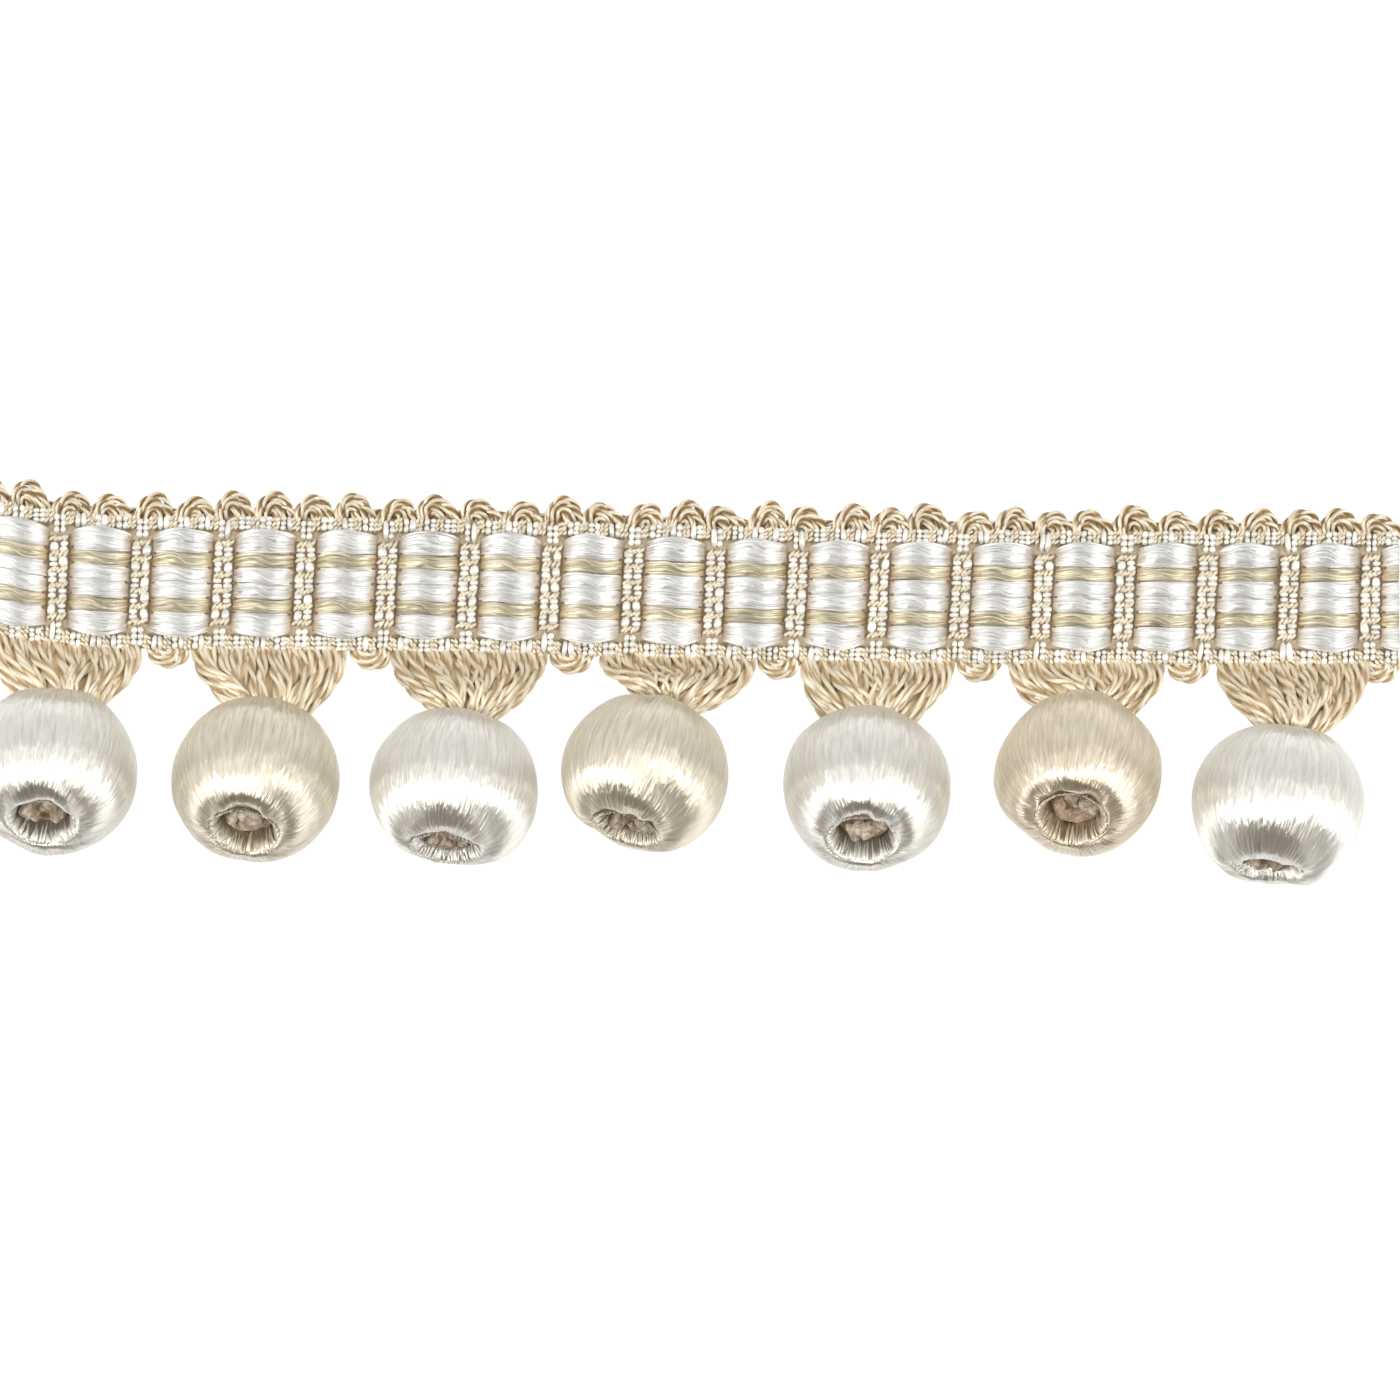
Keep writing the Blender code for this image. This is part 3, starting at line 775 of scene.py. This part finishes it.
skirtCords = {
    "halfWidth": 11.25,
    "layers": ((15, -1.0), (20, 0.5), (30, 1.0)),  # cords, and how high the layer lies on the neck
    "cross": 0.45,
    "root": -9.4,
    "rootHeight": 0.55,
    "bulge": 1.3,
    "leadOut": 4.4,
    "upperRise": 3.1,
    "leadInRing": 6.8,
    "leadIn": -14.0,
    "neckRing": 2.9,
    "neck": -11.2,
    "lowest": 0.72,
}

# the cords in the middle of the bunch show only between the others, so one ribbed sheet stands for them
innerCords = {
    "ribs": 61,
    "width": 0.94,
    "ribHeight": 0.25,
    "rootHeight": 0.3,
    "bulge": 1.04,
    "rise": (1.2, 1.2),  # of the lead-out at the sides, and more in the middle
    "leadInArch": 5.2,
    "leadIn": -13.6,
    "neckRing": 2.32,
    "neckArch": 1.9,
}

# the small loop to the right of the skirt
lowerLoop = {
    "place": 15.35,
    "root": 9.2,
    "turns": ((2.9, 3.15, 0.75), (2.0, 2.3, 1.15), (1.1, 1.5, 1.0)),  # half span, reach, height
}


def drawCurve(share, root, leadOut, leadIn, neck):
    rest = 1 - share
    return root * rest**3 + leadOut * 3 * rest**2 * share + leadIn * 3 * rest * share**2 + neck * share**3


def layInnerCords(hank, ball, fromBall):
    across = np.linspace(-innerCords["width"], innerCords["width"], innerCords["ribs"])
    arch = np.sqrt(1 - across**2)
    x = ball["rootX"] + skirtCords["halfWidth"] * across
    ribs = innerCords["ribHeight"] * (np.arange(len(across)) % 2)
    root = placesOf(x, tapeMiddle(x) + skirtCords["root"], innerCords["rootHeight"] + ribs)
    low, more = innerCords["rise"]
    leadOut = root + placesOf(across * innerCords["bulge"], -skirtCords["leadOut"], low + more * arch)
    bunch = []
    for ring, height, place in (
        (skirtCords["leadInRing"], innerCords["leadInArch"], innerCords["leadIn"]),
        (innerCords["neckRing"], innerCords["neckArch"], skirtCords["neck"]),
    ):
        bunch.append(fromBall(placesOf(across * ring, height * arch, place)))
    share = np.linspace(0, 1, 12)
    grid = drawCurve(share[:, None, None], root, leadOut, *bunch)
    grid[..., 2] = np.maximum(grid[..., 2], innerCords["rootHeight"])
    layGrid(hank, grid[:, ::-1], share * 15, closed=False)


def skirtLine(ball, fromBall, across, layer, maker):
    # across runs from -1 at the skirt's left edge to 1 at its right edge, layer from -1 below to 1 on top
    x = ball["rootX"] + skirtCords["halfWidth"] * across
    root = np.array([x, tapeMiddle(x) + skirtCords["root"], skirtCords["rootHeight"]])
    neckAcross = min(1, max(-1, across + shake(maker, 1) * skirtCords["cross"]))
    angle = math.pi * (1 - (neckAcross + 1) / 2)
    spoke = np.array([math.cos(angle), layer * math.sin(angle), 0])
    neck = fromBall(spoke * skirtCords["neckRing"] + (0, 0, skirtCords["neck"]))
    leadIn = fromBall(spoke * skirtCords["leadInRing"] + (0, 0, skirtCords["leadIn"]))
    rise = max(0, layer) * skirtCords["upperRise"] + shake(maker, 0.7) * (layer > 0)
    leadOut = root + (across * skirtCords["bulge"] + shake(maker, 0.8), -skirtCords["leadOut"], rise)
    leadIn = leadIn + (shake(maker, 1.0), 0, 0)
    line = drawCurve(np.linspace(0, 1, 28)[:, None], root, leadOut, leadIn, neck)
    line[:, 2] = np.maximum(line[:, 2], skirtCords["lowest"])
    return line


def gatherSkirt(index):
    ball = balls[index]
    fromBall = ballFrame(ball)
    maker = np.random.default_rng(100 + index)
    hank, inner = startHank(), startHank()
    for count, layer in skirtCords["layers"]:
        for cord in range(count):
            line = skirtLine(ball, fromBall, (2 * cord + 1) / count - 1, layer, maker)
            twist = cordTwist if layer == 1 else {**cordTwist, "step": 0.6, "sides": 5}
            twist = {**twist, "pitch": cordTwist["pitch"] * maker.uniform(0.9, 1.15)}
            layCord(hank, line, twist, maker.uniform(0, fullTurn), taper=([0, 0.75, 1], [1, 1, 0.7]))
    x = min(ball["rootX"] + lowerLoop["place"], tapeLie["halfLength"] - 3)
    for halfSpan, reach, height in lowerLoop["turns"]:
        line = loopLine(x, lowerLoop["root"], halfSpan, halfSpan, reach, height, shake(maker, 0.4), -1)
        layCord(hank, line, picotTwist, maker.uniform(0, fullTurn))
    layInnerCords(inner, ball, fromBall)
    return [
        makePiece(f"cordSkirt{index + 1}", hank, twistedCordYarn, [f"skirt_{index + 1}"]),
        makePiece(f"innerCords{index + 1}", inner, innerYarn),
    ]


# Balls wound with floss

# each floss has two fibre colours and the colour of its painted shade
flossLook = {
    "white": {"light": (0.89, 0.88, 0.83), "dark": (0.75, 0.72, 0.65), "paintedShade": (0.30, 0.26, 0.21)},
    "ivory": {"light": (0.86, 0.81, 0.69), "dark": (0.65, 0.58, 0.455), "paintedShade": (0.27, 0.20, 0.13)},
    "cream": {"light": (0.875, 0.80, 0.655), "dark": (0.68, 0.585, 0.445), "paintedShade": (0.28, 0.20, 0.13)},
}

flossFinish = {
    "hairs": (42, 0.58, 1, 0.5),  # noise cells around and along, its detail and roughness
    "threads": (22, 1.45, 1.5, 0.55),
    "strands": (8, 0.58, 1, 0.5),
    "gleam": 0.87,
    "roughness": 0.38,
    "anisotropy": 1.0,
    "sheen": 0.05,
    "threadDepth": 0.28,
    "strandDepth": 0.18,
    "length": 10,  # a strand's length from hole to hole, in the unit of the next lines
    "paintedDarkBand": (7.55, 7.95, 8.05, 8.3),  # painted shade in a ragged band outside the rim, where the strands crowd
    "paintedDarkBandShade": 0.50,
    "streakPaintedShade": 0.10,
    "inside": (8.7, 9.4),
    "paintedBoreShade": 0.6,
    "raggedness": (1.6, 1.2),
}


def flossMaterial(name, look):
    material, tree, shader = startMaterial(name)
    finish = flossFinish
    hairs, threads, strands = (
        noiseAt(tree, threadPlace(tree, *finish[key][:2]), *finish[key][2:])
        for key in ("hairs", "threads", "strands")
    )
    fine = sumOf(tree, "ADD", sumOf(tree, "MULTIPLY", hairs, 0.65), sumOf(tree, "MULTIPLY", threads, 0.35))
    colour = blend(tree, mapTo(tree, fine, 0.28, 0.68, 0, 1), look["dark"], look["light"])
    # painted shade: a ragged dark band outside the rim with paler streaks in it, and more painted shade
    # inside the bore
    along = sumOf(tree, "MODULO", threadParts(tree)[1], 2 * finish["length"])
    byThreads, byStrands = finish["raggedness"]
    shift = sumOf(tree, "MULTIPLY", sumOf(tree, "SUBTRACT", threads, 0.5), byThreads)
    shift = sumOf(tree, "MULTIPLY_ADD", sumOf(tree, "SUBTRACT", strands, 0.5), byStrands, shift)
    ragged = sumOf(tree, "ADD", along, shift)
    start, full, fade, end = finish["paintedDarkBand"]
    beyond = mapTo(tree, along, fade, end, 1, 0)
    paintedDarkBand = sumOf(tree, "MULTIPLY", mapTo(tree, ragged, start, full, 0, 1), beyond)
    streaks = mapTo(tree, fine, 0.40, 0.58, finish["paintedDarkBandShade"], finish["streakPaintedShade"])
    inside = mapTo(tree, along, *finish["inside"], 0, finish["paintedBoreShade"])
    paintedShade = sumOf(tree, "MAXIMUM", sumOf(tree, "MULTIPLY", paintedDarkBand, streaks), inside)
    colour = blend(tree, paintedShade, colour, look["paintedShade"])
    rough = mapTo(tree, threads, 0.3, 0.7, finish["roughness"] + 0.07, finish["roughness"] - 0.07)
    strandRelief = raiseFrom(tree, strands, finish["strandDepth"])
    relief = raiseFrom(tree, threads, finish["threadDepth"], Normal=strandRelief)
    combThreads(tree, shader, finish, colour, rough, relief, sheenRoughness=0.5)
    return material


flossMaterials = {name: flossMaterial(f"{name}Floss", look) for name, look in flossLook.items()}

ballRelief = {
    "swells": (4, 2, 0.25),  # cells around, cells along, height
    "lumps": (10, 3, 0.45),
    "bundles": (42, 5, 0.06),
    "rim": (22, 1, 0.40),
    "mouth": (11, 3, 0.45),
}

# where on the ball this relief lies
reliefPlaces = {
    "boreShare": 0.35,  # of the swells, lumps and bundles, within the next radius
    "boreRadius": 4.6,
    "boreFade": 2.5,
    "rimRadius": 5.4,
    "rimHeight": 9.9,
    "rimReach": 0.8,
    "mouthRadius": 5.6,
    "mouthFade": 1.2,
}


def windBall(index):
    ball = balls[index]
    maker = np.random.default_rng(200 + index)
    hank = startHank()
    lip = smoothLine(ballShape["lip"], ballShape["lipRows"])
    lipLatitude = math.acos(lip[0, 0] / ball["radius"])
    latitude = np.linspace(-lipLatitude, lipLatitude, ballShape["outerRows"])
    outside = np.column_stack([np.cos(latitude), ballShape["outerHeight"] * np.sin(latitude)])
    outside = outside * ball["radius"]
    lip[:, 1] += outside[-1, 1] - lip[0, 1]
    profile = np.vstack([(lip * (1, -1))[::-1][:-1], outside, lip[1:]])
    lengths = np.concatenate([[0], np.cumsum(np.linalg.norm(np.diff(profile, axis=0), axis=1))])
    along = lengths / lengths[-1]
    around = np.arange(ballShape["columns"]) / ballShape["columns"]
    alongGrid, aroundGrid = np.meshgrid(along, around, indexing="ij")
    ring, height = profile[:, :1], profile[:, 1:]
    spot = reliefPlaces
    outside = np.clip((ring - spot["boreRadius"]) / spot["boreFade"], 0, 1)
    overall = spot["boreShare"] + (1 - spot["boreShare"]) * outside
    fromRim = (np.abs(height) - spot["rimHeight"]) / spot["rimReach"]
    nearRim = np.exp(-(fromRim**2) - (ring - spot["rimRadius"]) ** 2)
    inMouth = np.clip((spot["mouthRadius"] - ring) / spot["mouthFade"], 0, 1)
    push = 0
    places = (overall, overall, overall, nearRim, inMouth)
    for (cellsAround, cellsAlong, depth), reach in zip(ballRelief.values(), places):
        push = push + reach * depth * ringNoise(maker, cellsAround, cellsAlong, aroundGrid, alongGrid)
    slope = unit(np.gradient(profile, axis=0))
    ring = ring + slope[:, 1:] * push  # outwards, square to the profile
    height = height - slope[:, :1] * push
    angle = aroundGrid * fullTurn - math.pi / 2
    grid = ballFrame(ball)(placesOf(ring * np.cos(angle), ring * np.sin(angle), height))
    grid[..., 2] = np.maximum(grid[..., 2], 0.02)
    layGrid(hank, grid, (along + 2 * index) * flossFinish["length"])
    floss, node = ball["floss"], f"ball_{index + 1}"
    makePiece(f"flossBall{index + 1}", hank, flossMaterials[floss], [node])


# The lower hole

tuftYarn = {**satinYarn, "gleam": 0.5, "creviceShade": 0.0, "fibresAround": 2.5, "fibresAlong": 0.6}
tuftYarns = {name: yarnFinish(f"{name}TuftYarn", tuftYarn, **look) for name, look in flossLook.items()}

feltLook = {
    # the felt is the packing in the hole, and its browns are partly painted shade down there
    "light": (0.78, 0.62, 0.46),
    "dark": (0.34, 0.22, 0.13),
    "patch": 0.55,  # patches and wisps to a millimetre
    "wisp": 4.0,
    "wispDepth": 0.25,
}
cottonColours = {"light": (0.68, 0.61, 0.49), "dark": (0.30, 0.21, 0.13)}
cottonLook = {**feltLook, **cottonColours, "patch": 0.8, "wispDepth": 0.15}


def looseFibre(name, look):
    # pale and dark wisps
    material, tree, shader = startMaterial(name)
    place = addNode(tree, "ShaderNodeNewGeometry").outputs["Position"]
    patch = noiseAt(tree, place, 4, 0.7, look["patch"] / millimetre)
    wisp = noiseAt(tree, place, 3, scale=look["wisp"] / millimetre)
    share = mapTo(tree, patch, 0.40, 0.60, 0, 1)
    colour = blend(tree, share, look["dark"], look["light"])
    height = sumOf(tree, "ADD", share, sumOf(tree, "MULTIPLY", wisp, 0.5))
    relief = raiseFrom(tree, height, look["wispDepth"], 0.8)
    values = {"Base Color": colour, "Roughness": mapTo(tree, wisp, 0, 1, 0.7, 0.95), "Normal": relief}
    fillIn(tree, shader, {**values, "Sheen Weight": 0.3})
    return material


shadedFelt = looseFibre("shadedFelt", feltLook)
cottonFelt = looseFibre("cottonFelt", cottonLook)

mouthFill = {
    "tufts": 96,
    "missing": 0.15,
    "tuftRadius": 0.20,
    "tuftTaper": (0.6, 1, 1, 0.95, 0.85, 0.65, 0.25),
    # radius and height, from the rim inwards
    "tuftPath": ((5.45, 9.98), (5.1, 9.72), (4.72, 9.2), (4.4, 8.5), (4.1, 7.6), (3.85, 6.7)),
    "tuftInset": 0.14,
    "lumps": (3, 7),
    "lumpSize": (0.7, 1.5),
    "lumpHeight": (7.2, 8.5),
    "lumpSide": (0.9, 2.6),  # how far under the upper rim a lump shows
    "lumpReach": 2.9,
    "lumpBulges": (7, 4, 0.42),  # cells around, cells from pole to pole, height
    "rimRadius": 5.25,
    "rimHeight": 10.1,
    "plugRadius": 4.0,
    "plugDepth": 7.4,
    "plugLumps": (7, 3, 0.6),
}


def turnIn(hank, index, fromBall, maker):
    # the floss that turns in over the rim
    path = smoothLine(mouthFill["tuftPath"], 24)
    taper = np.array(mouthFill["tuftTaper"])
    for tuft in range(mouthFill["tufts"]):
        angle = fullTurn * (tuft + shake(maker, 0.45)) / mouthFill["tufts"]
        angle += 0.05 * math.sin(9 * angle + index)
        reach = maker.uniform(0.55, 1.0)
        wander = shake(maker, 0.10)
        if maker.uniform() < mouthFill["missing"]:
            continue
        share = np.linspace(0, 1, len(taper))
        radius, height = (np.interp(share * reach * 23, np.arange(24), path[:, axis]) for axis in (0, 1))
        radius -= mouthFill["tuftInset"] * maker.uniform(0.3, 2.2)
        turn = angle + wander * share**2
        line = placesOf(radius * np.cos(turn), radius * np.sin(turn), height)
        width = mouthFill["tuftRadius"] * maker.uniform(0.7, 1.3) * taper
        along = np.arange(len(taper)) * 0.5 + 40 * maker.uniform()
        layStrand(hank, fromBall(line), along, width, 5)


def layPlug(hank, fromBall, maker):
    # the felt at the bottom of the hole, whose brown is partly painted shade
    outwards, around = np.meshgrid(np.linspace(0.02, 1, 16), np.arange(48) / 48, indexing="ij")
    cellsAround, cellsOut, depth = mouthFill["plugLumps"]
    bumps = ringNoise(maker, cellsAround, cellsOut, around, outwards) * depth
    bumps += ringNoise(maker, 3 * cellsAround, 2 * cellsOut, around, outwards) * depth * 0.35
    height = mouthFill["plugDepth"] + bumps * np.minimum(1, outwards * 4) - 1.2 * outwards**3
    reach, angle = outwards * mouthFill["plugRadius"], around * fullTurn
    plug = placesOf(reach * np.cos(angle), reach * np.sin(angle), height)
    layGrid(hank, fromBall(plug)[:, ::-1], np.linspace(0, 4, 16))


def packCotton(hank, tilt, fromBall, maker):
    around, fromPole = np.meshgrid(np.arange(18) / 18, np.linspace(0, 1, 13))
    angle, latitude = around * fullTurn, (fromPole - 0.5) * math.pi
    ring = np.cos(latitude)
    lumpShape = placesOf(ring * np.cos(angle), ring * np.sin(angle), np.sin(latitude))
    cellsAround, cellsAlong, depth = mouthFill["lumpBulges"]
    lumps = maker.integers(*mouthFill["lumps"])
    for lump in range(lumps):
        height = maker.uniform(*mouthFill["lumpHeight"])
        # the rim hides what lies above this line
        upper = mouthFill["rimRadius"] - (mouthFill["rimHeight"] - height) / math.tan(math.radians(tilt))
        across = ((lump + 0.5) / lumps - 0.5) * 6 + shake(maker, 0.6)
        middle = np.array([across, max(upper - maker.uniform(*mouthFill["lumpSide"]), -2.6), height])
        middle[:2] *= min(1, mouthFill["lumpReach"] / math.hypot(middle[0], middle[1]))
        size = maker.uniform(*mouthFill["lumpSize"]) * maker.uniform(0.75, 1.15, 3)
        bulges = 1 + depth * ringNoise(maker, cellsAround, cellsAlong, around, fromPole)
        layGrid(hank, fromBall(middle + size * bulges[..., None] * lumpShape), np.arange(13) * 0.4)


def fillMouth(index):
    ball, hanks = balls[index], [startHank() for _ in range(3)]
    maker, fromBall = np.random.default_rng(300 + index), ballFrame(ball)
    turnIn(hanks[0], index, fromBall, maker)
    layPlug(hanks[1], fromBall, maker)
    packCotton(hanks[2], ball["tilt"], fromBall, maker)
    yarns = {"Tufts": tuftYarns[ball["floss"]], "Felt": shadedFelt, "Cotton": cottonFelt}
    for hank, (name, yarn) in zip(hanks, yarns.items()):
        makePiece(f"mouth{name}{index + 1}", hank, yarn)


ground = weaveGround()
floatPieces = layAllFloats()
stitchPieces = stitchTape()
print("tape woven")
picotPieces = curlPicots()
skirts = [piece for index in range(len(balls)) for piece in gatherSkirt(index)]
print("picots and skirts laid")
for make in (windBall, fillMouth):
    for index in range(len(balls)):
        make(index)
print("balls wound")

# Studio: a pale table, soft light from both sides, and the camera overhead

studio = {
    "cameraPlace": (2.925, -16.5, 800),
    "frameWidth": 210,
    "floorSize": 6000,
    "floorWhite": (0.12, 0.12, 0.12),
    "floorGlow": 0.96,
    "sky": {"front": (0.16, 0.125, 0.085), "back": (0.88, 0.87, 0.853), "frontEdge": -0.45, "backEdge": 0.40},
    "box": {"inner": 440, "outer": 1700, "depth": 520, "height": 900},
    "boxes": {"Box": (-220, 11.8), "BackBox": (300, 2.2)},  # place along y, and power
}


def layFloor():
    mesh = bpy.data.meshes.new("floor")
    half = studio["floorSize"] / 2 * millimetre
    corners = [(-half, -half, 0), (half, -half, 0), (half, half, 0), (-half, half, 0)]
    mesh.from_pydata(corners, [], [(0, 1, 2, 3)])
    floor = addObject("floor", mesh)
    material, tree, shader = startMaterial("paleTable")
    grain = addNode(tree, "ShaderNodeTexNoise", {"Scale": 60, "Detail": 2}).outputs[0]
    values = {"Base Color": (*studio["floorWhite"], 1), "Specular IOR Level": 0.1}
    values |= {"Emission Color": (1, 1, 1, 1), "Emission Strength": studio["floorGlow"]}
    fillIn(tree, shader, {**values, "Roughness": mapTo(tree, grain, 0, 1, 0.85, 0.95)})
    mesh.materials.append(material)


def hangBox(name, side, y, power):
    # a soft box that hangs level beside the camera
    box = studio["box"]
    light = bpy.data.lights.new(name, "AREA")
    light.shape = "RECTANGLE"
    light.size = (box["outer"] - box["inner"]) * millimetre
    light.size_y = box["depth"] * millimetre
    light.energy = power
    lamp = addObject(name, light)
    across = side * (box["outer"] + box["inner"]) / 2
    lamp.location = [value * millimetre for value in (across, y, box["height"])]


def lightAir(sky):
    # the room is pale behind the picots and darker in front of the balls
    world = bpy.data.worlds.new("studioAir")
    world.use_nodes = True
    tree = world.node_tree
    direction = addNode(tree, "ShaderNodeTexCoord").outputs["Generated"]
    towardsBack = addNode(tree, "ShaderNodeSeparateXYZ", {0: direction}).outputs[1]
    share = mapTo(tree, towardsBack, sky["frontEdge"], sky["backEdge"], 0, 1)
    air = blend(tree, share, sky["front"], sky["back"])
    tree.links.new(air, tree.nodes["Background"].inputs["Color"])
    bpy.context.scene.world = world


def setStudio():
    layFloor()
    for place, side in (("left", -1), ("right", 1)):
        for name, (y, power) in studio["boxes"].items():
            hangBox(place + name, side, y, power)
    lightAir(studio["sky"])
    scene = bpy.context.scene
    scene.view_settings.view_transform = "Standard"
    camera = bpy.data.cameras.new("camera")
    camera.lens = camera.sensor_width * studio["cameraPlace"][2] / studio["frameWidth"]
    camera.clip_start, camera.clip_end = 0.05, 10
    stand = addObject("camera", camera)
    stand.location = [value * millimetre for value in studio["cameraPlace"]]
    scene.camera = stand


setStudio()
print("studio lit")
